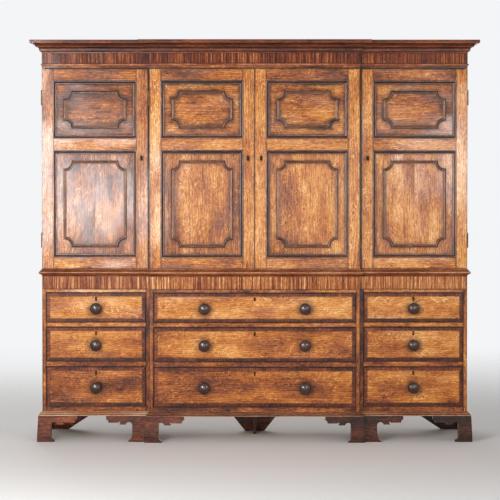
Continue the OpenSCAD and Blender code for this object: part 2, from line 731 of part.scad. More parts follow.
lower_case_sides();
lower_case_boards();
lower_case_backs();
drawer_rails();
drawer_runners();
lower_friezes();
waist_moulding();
base_moulding();
bracket_feet();
back_feet();
upper_case_sides();
upper_case_boards();
upper_case_backs();
shelves();
upper_friezes();
cornice();
hinge_fixed_leaves();
door_frame(0);  // door_left_wing_frame
door_panels(0);  // door_left_wing_panels
door_mouldings(0);  // door_left_wing_mouldings
door_fittings(0);  // door_left_wing_fittings
door_frame(1);  // door_centre_left_frame
door_panels(1);  // door_centre_left_panels
door_mouldings(1);  // door_centre_left_mouldings
door_fittings(1);  // door_centre_left_fittings
door_frame(2);  // door_centre_right_frame
door_panels(2);  // door_centre_right_panels
door_mouldings(2);  // door_centre_right_mouldings
door_fittings(2);  // door_centre_right_fittings
door_frame(3);  // door_right_wing_frame
door_panels(3);  // door_right_wing_panels
door_mouldings(3);  // door_right_wing_mouldings
door_fittings(3);  // door_right_wing_fittings
drawer_front(0, 2);  // drawer_left_top_front
drawer_box(0, 2);  // drawer_left_top_box
drawer_knobs(0, 2);  // drawer_left_top_knobs
drawer_front(0, 1);  // drawer_left_middle_front
drawer_box(0, 1);  // drawer_left_middle_box
drawer_knobs(0, 1);  // drawer_left_middle_knobs
drawer_front(0, 0);  // drawer_left_bottom_front
drawer_box(0, 0);  // drawer_left_bottom_box
drawer_knobs(0, 0);  // drawer_left_bottom_knobs
drawer_front(1, 2);  // drawer_centre_top_front
drawer_box(1, 2);  // drawer_centre_top_box
drawer_knobs(1, 2);  // drawer_centre_top_knobs
drawer_front(1, 1);  // drawer_centre_middle_front
drawer_box(1, 1);  // drawer_centre_middle_box
drawer_knobs(1, 1);  // drawer_centre_middle_knobs
drawer_front(1, 0);  // drawer_centre_bottom_front
drawer_box(1, 0);  // drawer_centre_bottom_box
drawer_knobs(1, 0);  // drawer_centre_bottom_knobs
drawer_front(2, 2);  // drawer_right_top_front
drawer_box(2, 2);  // drawer_right_top_box
drawer_knobs(2, 2);  // drawer_right_top_knobs
drawer_front(2, 1);  // drawer_right_middle_front
drawer_box(2, 1);  // drawer_right_middle_box
drawer_knobs(2, 1);  // drawer_right_middle_knobs
drawer_front(2, 0);  // drawer_right_bottom_front
drawer_box(2, 0);  // drawer_right_bottom_box
drawer_knobs(2, 0);  // drawer_right_bottom_knobs
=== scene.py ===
# %% [markdown]
# # A breakfront housekeepers cupboard in waxed oak
# The joiner's model comes first. It is a fixed frame that says where every board, moulding and knob sits,
# in metres, with the front towards -Y and the floor at Z = 0. Each board and moulding is then dressed:
# its edges are eased, its profile is drawn finer, and it gets the wood it was made of.

import functools
import math

import bmesh
import bpy
import numpy as np
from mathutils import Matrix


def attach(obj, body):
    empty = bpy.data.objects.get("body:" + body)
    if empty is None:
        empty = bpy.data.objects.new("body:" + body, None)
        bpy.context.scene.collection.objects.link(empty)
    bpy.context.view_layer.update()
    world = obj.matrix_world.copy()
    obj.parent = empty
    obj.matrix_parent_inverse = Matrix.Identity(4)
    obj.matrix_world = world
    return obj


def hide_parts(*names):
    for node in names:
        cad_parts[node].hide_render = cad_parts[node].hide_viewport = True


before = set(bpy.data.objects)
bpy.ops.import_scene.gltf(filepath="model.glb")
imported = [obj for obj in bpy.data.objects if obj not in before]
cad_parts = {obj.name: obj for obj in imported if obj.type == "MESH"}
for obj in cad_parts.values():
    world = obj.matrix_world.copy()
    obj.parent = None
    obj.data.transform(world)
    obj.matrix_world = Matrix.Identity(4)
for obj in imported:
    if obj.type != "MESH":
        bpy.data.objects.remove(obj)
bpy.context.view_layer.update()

# %% [markdown]
# ## Measures
# The cupboard is drawn in millimetres, as its maker would, and one factor turns them to metres. The front
# has three planes: the two wings, the middle bay that steps forward, and the back.

# %% Measures of the carcass
MM = 0.001
HALF_W = 1106.0
HALF_C = 546.0
BACK_Y = 306.5
WING_Y = -213.5
CENTRE_Y = -248.5
GLUE = 0.1
# A half size so big that no dirt gathers at it
FAR = 999.0
BAY_Y = [WING_Y, CENTRE_Y, WING_Y]
BAY_X = [(-1086.0, -566.0), (-526.0, 526.0), (566.0, 1086.0)]

# %% Measures of the levels
FOOT_H = 135.0
TIER_Z = [182.0, 417.0, 621.0]
TIER_H = [209.0, 181.0, 156.0]
WAIST_Z = 860.0
BEAD_Z = 1955.0
CORNICE_Z = 2021.0
DOOR_Z = 901.0
DOOR_H = 1037.0
print("drawer tiers from", TIER_Z[0], "to", TIER_Z[2] + TIER_H[2])

# %% [markdown]
# ## From shapes to pieces
# A piece is gathered from parts, each one board or one length of moulding. Every point of a part knows its
# place along, across and into the board, so the grain follows the board, and half the board's size in that
# order, so dirt and painted shade can gather at its edges. A dirt value is high in a hollow, where it paints
# shade as well as dirt, and below zero on a worn edge, where it paints a highlight as well as wear. A tone
# and a seed number make each board its own piece of wood; on the lengths round panels and drawers the tone
# also paints lit and shaded sides. Spot and mark say where hands and wax have darkened it, round knobs and
# keyholes and beside raised mouldings, and there also paint the knobs' shadow and the mouldings' shade. All
# are attributes of the mesh.

# %% One part
def part(points, faces, grain, half, seed=0.0, tone=0.5, dirt=0.0, finish=0):
    """Points in millimetres, faces as index lists, and the grain values for each point."""
    points = np.asarray(points, float)
    count = len(points)
    return {
        "points": points,
        "faces": [list(face) for face in faces],
        "grain": np.broadcast_to(np.asarray(grain, float), (count, 3)),
        "half": np.broadcast_to(np.asarray(half, float), (count, 3)),
        "look": np.column_stack([np.full(count, seed), np.full(count, tone), np.zeros(count) + dirt]),
        "spot": np.zeros((count, 3)),
        "mark": np.zeros((count, 3)),
        "finish": finish,
    }


# Kinds of mark: hand dirt, which round knobs also paints their shadow, and wax, which beside raised
# mouldings also paints their shade
HANDS = 1.0
WAXED = 2.0
NO_EDGES = (FAR, FAR, FAR)


def marked(board, x, z, kind, mark):
    """Spot holds each point's place from x, z and the kind of mark, which is 0 on the board's rear half.
    Mark holds the mark's own measures."""
    depth = board["points"][:, 1]
    front = depth < (depth.min() + depth.max()) / 2
    board["spot"] = np.column_stack([board["points"][:, [0, 2]] - (x, z), front * kind / MM])
    board["mark"] = np.broadcast_to(np.asarray(mark, float), board["points"].shape)
    return board


# %% Gather parts into one mesh object
def make(name, parts, finishes, body, slot, stands_for=(), ease=0.0, smooth=None):
    """All parts' points and faces, one after the other, in one mesh. Ease is the radius of rubbed edges, and
    a piece that has them is flat between them. Others are smooth up to an angle."""
    if smooth is None:
        smooth = 0 if ease else 32
    starts = np.cumsum([0] + [len(p["points"]) for p in parts])
    faces = [[int(k) + int(s) for k in f] for p, s in zip(parts, starts) for f in p["faces"]]
    mesh = bpy.data.meshes.new(name)
    mesh.from_pydata((np.concatenate([p["points"] for p in parts]) * MM).tolist(), [], faces)
    for key in ("grain", "half", "look", "spot", "mark"):
        values = np.concatenate([p[key] for p in parts]) * (1.0 if key == "look" else MM)
        layer = mesh.attributes.new(key, "FLOAT_VECTOR", "POINT")
        layer.data.foreach_set("vector", values.astype(np.float32).ravel())
    finish_of = np.repeat([p["finish"] for p in parts], [len(p["faces"]) for p in parts])
    for finish in finishes:
        mesh.materials.append(finish)
    mesh.polygons.foreach_set("material_index", finish_of.astype(np.int32))
    mesh.polygons.foreach_set("use_smooth", np.full(len(mesh.polygons), smooth > 0))
    if smooth > 0:
        mesh.set_sharp_from_angle(angle=math.radians(smooth))
    piece = bpy.data.objects.new(name, mesh)
    bpy.context.scene.collection.objects.link(piece)
    if ease > 0:
        soft = piece.modifiers.new("rubbed edges", "BEVEL")
        soft.width = ease * MM
        soft.segments = 2
        soft.limit_method = "ANGLE"
        soft.angle_limit = math.radians(40)
    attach(piece, body)
    if stands_for:
        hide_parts(*stands_for)
    print(name, len(mesh.vertices), "points", len(mesh.polygons), "faces")
    return piece


# %% [markdown]
# ## Boards
# The joiner's model already has every board with its keyholes, hinge beds and rebates. Its mesh is loose
# triangles, so a copy is welded, its flat faces are joined, and it is sorted into separate boards. Drawing
# each board again as a box would lose the cuts, and a bevel on the welded copy keeps them.

# %% Sort points into solids
def solid_numbers(count, edges):
    """Every point takes the lowest number found along its edges, until nothing changes."""
    label = np.arange(count)
    while True:
        low = np.minimum(label[edges[:, 0]], label[edges[:, 1]])
        new = label.copy()
        np.minimum.at(new, edges[:, 0], low)
        np.minimum.at(new, edges[:, 1], low)
        new = new[new]
        if np.array_equal(new, label):
            return np.unique(label, return_inverse=True)[1]
        label = new


# %% The solids of a node
def solids(node):
    """Points in millimetres and faces of each solid, welded and with its flat triangles joined."""
    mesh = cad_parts[node].data
    work = bmesh.new()
    work.from_mesh(mesh)
    bmesh.ops.remove_doubles(work, verts=work.verts, dist=0.00002)
    bmesh.ops.dissolve_limit(work, angle_limit=math.radians(0.5), verts=work.verts, edges=work.edges)
    copy = bpy.data.meshes.new("welded")
    work.to_mesh(copy)
    work.free()
    points = np.empty(len(copy.vertices) * 3)
    copy.vertices.foreach_get("co", points)
    points = points.reshape(-1, 3) / MM
    edges = np.empty(len(copy.edges) * 2, int)
    copy.edges.foreach_get("vertices", edges)
    number = solid_numbers(len(points), edges.reshape(-1, 2))
    faces = [list(f.vertices) for f in copy.polygons]
    owner = number[[f[0] for f in faces]]
    bpy.data.meshes.remove(copy)
    found = []
    for k in range(number.max() + 1):
        own = np.flatnonzero(number == k)
        place = np.zeros(len(points), int)
        place[own] = np.arange(len(own))
        found.append((points[own], [place[f].tolist() for f, o in zip(faces, owner) if o == k]))
    return sorted(found, key=lambda s: tuple(np.round(s[0].min(axis=0), 1)))


# %% A board of wood
def as_board(solid, seed, tone=0.5, order=None, finish=0):
    """Grain along the longest side, across the next and into the shortest, measured from the middle."""
    points, faces = solid
    low = points.min(axis=0)
    high = points.max(axis=0)
    if order is None:
        order = np.argsort(low - high)
    order = list(order)
    grain = (points - (low + high) / 2)[:, order]
    half = ((high - low) / 2)[order]
    return part(points, faces, grain, half, seed, tone, finish=finish)


def sizes(solid):
    """Width, depth and height of a solid's box."""
    return solid[0].max(axis=0) - solid[0].min(axis=0)


print("boards in the lower sides:", len(solids("lower_case_sides")))

# %% [markdown]
# ## Mouldings
# A moulding is a profile stuck on the edge of a long strip with a plane, then cut to length with mitres.
# It is drawn the same way: the profile is a row of points (how far out, how high), and each length carries
# it from one corner of the plan to the next. At a corner the profile is pushed out along the mitre, so two
# neighbouring lengths meet in one plane.

# %% Arcs and finer profiles
def arc(centre, radius, start, end, count=10):
    """Points on a circle: centre plus radius times cosine and sine of angles in equal steps."""
    angle = np.radians(np.linspace(start, end, count + 1))
    return np.column_stack([centre[0] + radius * np.cos(angle), centre[1] + radius * np.sin(angle)])


def refined(profile, near=1.2):
    """A point is added close to both ends of each long straight, so dirt and painted shade stay in the
    corner.
    """
    start = np.asarray(profile, float)
    end = np.roll(start, -1, axis=0)
    length = np.linalg.norm(end - start, axis=1)
    share = np.where(length > 3 * near, near / np.maximum(length, 1e-9), np.nan)
    step = (end - start) * share[:, None]
    rows = np.stack([start, start + step, end - step], axis=1).reshape(-1, 2)
    return rows[~np.isnan(rows[:, 0])]


def hollows(profile, reach=2.2, full=0.45):
    """How far a point lies under the chord between two others at that reach. 1 is the full depth."""
    closed = np.vstack([profile, profile[:1]])
    along = np.concatenate([[0], np.cumsum(np.linalg.norm(np.diff(closed, axis=0), axis=1))])
    whole = along[-1]
    here = along[:-1]

    def at(s):
        s = np.mod(s, whole)
        return np.column_stack([np.interp(s, along, closed[:, 0]), np.interp(s, along, closed[:, 1])])

    before = at(here - reach)
    after = at(here + reach)
    chord = after - before
    length = np.maximum(np.linalg.norm(chord, axis=1), 1e-9)[:, None]
    out = np.column_stack([chord[:, 1], -chord[:, 0]]) / length
    depth = (((before + after) / 2 - profile) * out).sum(axis=1)
    return np.clip(depth / full, -1, 1), here, whole


# %% Faces round a piece
def sleeve(rows, count):
    """Quads between rows of points that run round a piece, then a face over each end."""
    k = np.arange(count)
    n = (k + 1) % count
    base = np.arange(rows - 1)[:, None] * count
    quads = np.stack([base + k, base + n, base + n + count, base + k + count], axis=2)
    return [*quads.reshape(-1, 4).tolist(), k[::-1].tolist(), (k + (rows - 1) * count).tolist()]


# %% A profile carried along stations
def carried(profile, rings, seed, tone, across=False):
    """Rings hold, for each station, one 3-D point for each profile point. Quads join neighbouring rings."""
    rings = np.asarray(rings, float)
    stations, count = rings.shape[:2]
    # Hollows get dirt and painted shade, and worn rounded ridges get a paler colour that is also a painted
    # highlight
    dirt, along, whole = hollows(profile)
    faces = sleeve(stations, count)
    centres = rings.mean(axis=1)
    axis = centres[1] - centres[0]
    turned = np.cross(rings[0], np.roll(rings[0], -1, axis=0)).sum(axis=0) @ axis
    if turned < 0:
        faces = [f[::-1] for f in faces]
    points = rings.reshape(-1, 3)
    if stations == 2:
        run = (points - points.mean(axis=0)) @ (axis / np.linalg.norm(axis))
    else:
        run = np.cumsum(np.linalg.norm(np.diff(centres, axis=0), axis=1))
        run = np.repeat(np.concatenate([[0], run]), count)
        run = run - run.max() / 2
    rise = np.tile(along - whole / 2, stations)
    none = np.zeros(len(points))
    grain = np.column_stack([rise, run, none] if across else [run, rise, none])
    end = np.abs(run).max()
    half = [FAR, end, FAR] if across else [end, FAR, FAR]
    return part(points, faces, grain, half, seed, tone, np.tile(dirt, stations))


# %% Lengths round the plan
PLAN = np.array([(-HALF_W, BACK_Y), (-HALF_W, WING_Y), (-HALF_C, WING_Y), (-HALF_C, CENTRE_Y),
                 (HALF_C, CENTRE_Y), (HALF_C, WING_Y), (HALF_W, WING_Y), (HALF_W, BACK_Y)])
STEPS = np.diff(PLAN, axis=0)
STEPS /= np.linalg.norm(STEPS, axis=1)[:, None]
OUTWARD = np.column_stack([STEPS[:, 1], -STEPS[:, 0]])


def mitre(i):
    """The sum of the two outward normals at a corner, so one step along it moves one out from both sides."""
    if i == 0 or i == len(PLAN) - 1:
        return OUTWARD[min(i, len(OUTWARD) - 1)]
    both = OUTWARD[i - 1] + OUTWARD[i]
    return both / (1 + OUTWARD[i - 1] @ OUTWARD[i])


def plan_length(i, profile, z, seed, tone):
    """Each profile point (p, h) goes to the corner plus p along the mitre, at height z plus h."""
    profile = refined(profile)
    out = profile[:, :1]
    height = profile[:, 1:] + z
    glue = STEPS[i] * GLUE / 2
    start = np.hstack([PLAN[i] + glue + out * mitre(i), height])
    end = np.hstack([PLAN[i + 1] - glue + out * mitre(i + 1), height])
    return carried(profile, [start, end], seed, tone)


def round_plan(profile, z, seed, tones):
    """All seven lengths of a moulding. Tones is one number, or one for each length."""
    tones = np.broadcast_to(tones, len(STEPS))
    return [plan_length(i, profile, z, seed + i, tone) for i, tone in enumerate(tones)]


# %% Lengths round a rectangle on the front
CORNERS = np.array([(0, 0), (1, 0), (1, 1), (0, 1)])
INWARD = np.array([(1, 1), (-1, 1), (-1, -1), (1, -1)])


def framed(x, z, y, profile, seed, tone, across=False):
    """Profile points (u, v): u inward from the rectangle's edge along the mitre, v towards the viewer.
    Tone is one number, or four for the bottom, right, top and left length."""
    profile = refined(profile)
    tone = np.broadcast_to(tone, 4)
    low = np.array([x[0], z[0]])
    size = np.array([x[1] - x[0], z[1] - z[0]])
    parts = []
    for k in range(4):
        nxt = (k + 1) % 4
        way = CORNERS[nxt] - CORNERS[k]
        a = low + CORNERS[k] * size + way * GLUE / 2 + profile[:, :1] * INWARD[k]
        b = low + CORNERS[nxt] * size - way * GLUE / 2 + profile[:, :1] * INWARD[nxt]
        depth = y - profile[:, 1]
        start = np.column_stack([a[:, 0], depth, a[:, 1]])
        end = np.column_stack([b[:, 0], depth, b[:, 1]])
        parts.append(carried(profile, [start, end], seed + 0.37 * k, tone[k], across))
    return parts


print("the plan has", len(STEPS), "lengths")

# %% [markdown]
# ## The profiles
# The cornice is a cove under an ovolo under a square fillet. The waist moulding is a cove, a rounded nosing
# and a slope above it. The base moulding is a small nosing below a sloping ogee. Each list runs from the
# carcass out and round, with its points in anticlockwise order seen with the outside to the right.

# %% Cornice, waist, base and bead
CORNICE = np.vstack([[(-22, 0), (1, 0), (1.8, 5.2), (2.4, 6.0), (9.4, 7.4), (10, 8.2), (10.6, 11.2)],
                     [(13, 12.2)], arc((24.5, 18), 11.5, 180, 90, 12)[1:], [(26.6, 29.9), (27.6, 30.6)],
                     arc((49, 28), 20, 170, 92, 14), [(55.4, 48.1), (56, 48.6), (57.6, 49.7), (58, 50.4)],
                     [(58, 63.4), (57.6, 65.2), (56.6, 66), (-22, 66)]])
WAIST = np.vstack([[(0, 0), (0.4, 0)], arc((12.5, 0), 12.5, 178, 92, 12), [(13.4, 12.7), (13.5, 14.8)],
                   arc((13.5, 21), 4.5, -75, 75, 12), [(12.5, 26.8), (10.8, 28.4), (8, 31), (4.5, 35)],
                   [(3, 38.8), (2.8, 39), (0, 39)]])
BASE = np.array([(0, 0), (19.4, 0), (20, 0.5), (20.4, 1.5), (20, 4.4), (19, 5.5), (16.5, 6.8), (15.2, 8.2),
                 (14.4, 10.2), (12, 13.6), (9.8, 15.4), (7, 16.8), (4.4, 17.5), (3.4, 19), (2.8, 21.4),
                 (2.3, 22), (0, 22)])
BEAD = np.vstack([[(0, 0)], arc((0, 5.5), 5.5, -88, 88, 14), [(0, 11)]])
print("cornice profile points", len(CORNICE))

# %% Mouldings of the doors and the drawers
COCK_BEAD = np.vstack([[(0, -10), (0, 0.6)], arc((2.25, 0.75), 2.25, 176, 4, 10), [(4.5, 0.6), (4.5, -10)]])
COCK_BEAD = COCK_BEAD[::-1]
BANDING = np.array([(4.5, -3.0), (18.5, -3.0), (18.5, 0.0), (4.5, 0.0)])
FRAME_MOULD = np.vstack([[(0, 0), (0, 10), (-3.6, 10), (-4, 10.4), (-4, 12), (-3.4, 12.8), (-2.4, 13)],
                         [(1.6, 13), (2.6, 12.6), (3.2, 12)], arc((12.6, 14.6), 9.6, 202, 258, 10),
                         [(11.2, 5.0), (12.6, 5.2)], arc((14.0, 2.6), 2.6, 100, 12, 6),
                         [(17.6, 2.4), (18, 1.8), (18, 0)]])[::-1]
RAISED = np.vstack([[(0, 0), (0, 1.8), (0.5, 2.6)], arc((-0.4, 6.2), 3.6, -70, -12, 5), [(3.3, 5.0)],
                    arc((7.0, 3.4), 3.6, 165, 15, 10), [(10.7, 3.2), (11.5, 3.0)],
                    arc((13.2, 1.0), 2.4, 110, 15, 5), [(16, 0.9), (16, 0)]])[::-1]
print("frame moulding points", len(FRAME_MOULD), "raised moulding points", len(RAISED))

# %% [markdown]
# ## Wood as a material
# Wood shows its colour at several sizes. Boards differ from each other, since each is another tree. Slow
# mottle a hand wide comes from old polish. Fibres and pores streak everything along the grain. Dirt and
# wax darken hollows, edges and the places round knobs and mouldings, and the same darkening paints the
# shade in hollows, at edges and beside mouldings and the knobs' shadow. Rubbing bares what hands touch, and
# on rounded ridges it also paints a highlight. One function draws all of these, and each wood sets its
# colours and amounts.

# %% Colours and nodes
def linear(text):
    """sRGB hex to linear: c / 12.92 below 0.04045, else ((c + 0.055) / 1.055) to the power 2.4."""
    c = np.array([int(text[k : k + 2], 16) for k in (1, 3, 5)]) / 255
    return (*np.where(c <= 0.04045, c / 12.92, ((c + 0.055) / 1.055) ** 2.4).tolist(), 1.0)


VECTOR = "ShaderNodeVectorMath"
AXES = "ShaderNodeSeparateXYZ"
CLAMP = {"use_clamp": True}


def add_node(tree, kind, links=None, settings=None, **inputs):
    """Adds a node, by its kind or by the operation of a Math node. Links feed its sockets, in order or by
    name, from a number, an output or a node's first output. Inputs are values of sockets."""
    settings = dict(settings or {})
    if not kind.startswith("ShaderNode"):
        settings["operation"] = kind
        kind = "ShaderNodeMath"
    node = tree.nodes.new(kind)
    for key, value in settings.items():
        setattr(node, key, value)
    for key, value in inputs.items():
        node.inputs[key.replace("_", " ")].default_value = value
    links = dict(enumerate(links)) if isinstance(links, tuple) else links or {}
    for key, value in links.items():
        if isinstance(value, bpy.types.Node):
            value = value.outputs[0]
        if isinstance(value, bpy.types.NodeSocket):
            tree.links.new(value, node.inputs[key])
        else:
            node.inputs[key].default_value = value
    return node


def sheet_of(name):
    """A material with an empty node tree, and the function that adds a node to it."""
    material = bpy.data.materials.new(name)
    material.use_nodes = True
    material.node_tree.nodes.clear()
    return material, functools.partial(add_node, material.node_tree)


def set_stops(ramp, colours):
    """Gives a colour ramp its positions and colours."""
    stops = ramp.color_ramp.elements
    while len(stops) < len(colours):
        stops.new(0.5)
    for stop, (position, colour) in zip(stops, colours):
        stop.position = position
        stop.color = linear(colour)


print("white is", linear("#FFFFFF"))

# %% [markdown]
# ### Rings and rays
# A tree adds a ring each year, pale in spring and dark in late summer. A board cut lengthwise shows them as
# lines, which open to flames where the cut runs near the heart. Rays run from the heart outwards, and a
# board sawn along them shows them as shiny flecks, the mark of good oak.

# %% Growth rings
def growth_rings(add, noise, seed, across, spots, ring_mm):
    """Sine of the distance to the tree's heart, which lies 60 mm under the board and to one side."""
    # The board's grain wanders 25 mm to either side over half a metre
    bend = noise((1.6, 4.0, 4.0), 2.0)
    offset = add("SINE", (add("MULTIPLY", (seed, 7.7)),))
    offset = add("MULTIPLY_ADD", (bend, 0.018, add("MULTIPLY", (offset, 0.12))))
    side = add("ADD", (add("MULTIPLY_ADD", (seed, -1.93, across)), offset))
    radius = add("SQRT", (add("MULTIPLY_ADD", (side, side, 0.0036)),))
    turns = add("MULTIPLY", (spots, 1.6))
    turns = add("MULTIPLY_ADD", (radius, 6283.0 / ring_mm, turns))
    rings = add("MULTIPLY_ADD", (add("SINE", (turns,)), 0.5, 0.5))
    return add("SUBTRACT", (add("POWER", (rings, 2.4)), 0.35))


# %% Specks and flecks
def with_flecks(add, noise, value, slow, along, across, into, fleck):
    """The value less 0.3 where a speck is, and plus the fleck amount where a ray shows."""
    # Dark specks 6 mm wide, where pores have filled with wax. Most are the peaks of one noise
    specks = add("MULTIPLY_ADD", (noise((70.0, 150.0, 150.0), 1.0), 3.0, -2.0), CLAMP)
    value = add("MULTIPLY_ADD", (specks, -0.30, value))
    # Flecks 4 by 25 mm, wider than the 1 mm of most rays so that they show. They cross the grain at a
    # slant, mirrored about a line that wanders, and bend with the grain
    run = add("ABSOLUTE", (add("MULTIPLY_ADD", (slow, 0.10, along)),))
    rise = add("MULTIPLY_ADD", (noise((7.0, 12.0, 12.0), 1.0), 0.03, across))
    length = add("MULTIPLY_ADD", (run, 0.77, add("MULTIPLY", (rise, 0.64))))
    width = add("MULTIPLY_ADD", (run, -0.64, add("MULTIPLY", (rise, 0.77))))
    slant = add("ShaderNodeCombineXYZ", (length, width, into))
    rays = noise((40.0, 230.0, 230.0), 2.0, 0.5, slant)
    rays = add("MULTIPLY_ADD", (rays, 1.4, -0.1), CLAMP)
    here = add("MULTIPLY_ADD", (noise((9.0, 14.0, 14.0), 1.0), 0.8, 0.6), CLAMP)
    return add("MULTIPLY_ADD", (add("MULTIPLY", (rays, here)), fleck, value))


# %% [markdown]
# ### Dirt, wax and painted shade
# Dusters push wax and dirt into edges and hollows, where it hardens and turns black. Hands leave it round
# knobs and keyholes. The same dark colour also paints the shade in edges, hollows and beside mouldings, and
# the shadow round knobs. So dirt and painted shade follow the piece's own shape, and read their place from
# the attributes.

# %% Dirt and painted shade along the edges
DIRT_REACH = 0.007


# Dirt and painted shade darken each board towards its nearest edge, over the reach
def edge_dirt(add, noise, read):
    """1 less distance over reach. Distance to the nearest edge is the middle one of those to the sides."""
    inner = add(VECTOR, (read["grain"],), {"operation": "ABSOLUTE"})
    inner = add(VECTOR, (read["half"], inner), {"operation": "SUBTRACT"})
    gap = add(AXES, (inner,)).outputs
    low = add("MINIMUM", (gap[0], gap[1]))
    high = add("MAXIMUM", (gap[0], gap[1]))
    edge = add("MAXIMUM", (low, add("MINIMUM", (high, gap[2]))))
    near = add("SUBTRACT", (1.0, add("DIVIDE", (edge, DIRT_REACH))), CLAMP)
    ragged = add("MULTIPLY_ADD", (noise((30.0, 60.0, 60.0), 3.0), 0.5, 0.75), CLAMP)
    return add("MULTIPLY", (add("POWER", (near, 1.2)), ragged))


# %% Marks and painted shade round knobs, keyholes and mouldings
BITE = 0.040
HALF_LINE = 0.008
TO_EDGE = 0.033
WAX_REACH = 0.024


def with_marks(add, noise, read, soil):
    """Soil and painted shade plus the stronger of the two kinds of mark, in clouds."""
    x, z, kind = add(AXES, (read["spot"],)).outputs
    first, second, third = add(AXES, (read["mark"],)).outputs
    off_x = add("SUBTRACT", (add("ABSOLUTE", (x,)), first))
    # Hands leave an oval patch at x = plus and minus the first measure, with the other two as radii. Round
    # a knob the patch also paints the knob's shadow
    oval_x = add("DIVIDE", (off_x, second))
    oval_z = add("DIVIDE", (z, third))
    oval = add("MULTIPLY_ADD", (oval_x, oval_x, add("MULTIPLY", (oval_z, oval_z))))
    oval = add("SUBTRACT", (1.7, add("SQRT", (oval,))), CLAMP)
    oval = add("MULTIPLY", (add("POWER", (oval, 1.5)), add("COMPARE", (kind, HANDS, 0.1))))
    # Wax lies beside an outline with hollow corners, of half sizes first and second, and at the panel's
    # edge outside it, and paints the shade beside the mouldings there too. The third measure is its amount
    off_z = add("SUBTRACT", (add("ABSOLUTE", (z,)), second))
    side = add("MAXIMUM", (off_x, off_z))
    corner = add("MULTIPLY_ADD", (off_x, off_x, add("MULTIPLY", (off_z, off_z))))
    corner = add("SUBTRACT", (BITE, add("SQRT", (corner,))))
    line = add("ADD", (add("MAXIMUM", (side, corner)), HALF_LINE))
    line = add("ABSOLUTE", (line,))
    beside = add("MULTIPLY_ADD", (line, -1 / WAX_REACH, 1.4), CLAMP)
    border = add("MULTIPLY_ADD", (side, 1 / WAX_REACH, 1 - TO_EDGE / WAX_REACH), CLAMP)
    wax = add("POWER", (add("MAXIMUM", (beside, border)), 1.6))
    wax = add("MULTIPLY", (wax, add("MULTIPLY", (third, 1 / MM))))
    wax = add("MULTIPLY", (wax, add("COMPARE", (kind, WAXED, 0.1))))
    cloud = add("MULTIPLY_ADD", (noise((14.0, 18.0, 18.0), 2.0), 0.5, 0.66), CLAMP)
    return add("MULTIPLY_ADD", (add("MAXIMUM", (oval, wax)), cloud, soil))


# %% [markdown]
# ### One wood
# Each pattern is one noise, stretched by a scale in features per metre. A scale of 8 along and 240 across
# gives streaks about 125 mm long and 4 mm wide. The value they add up to is read off a ramp from the
# wood's darkest to its palest colour, dirt and painted shade are mixed over that, and a coat of wax lies
# over all.

# %% The wood
# The dark colour of dirt, which also paints shade
SOIL = "#210B04"
BOARD = 0.08


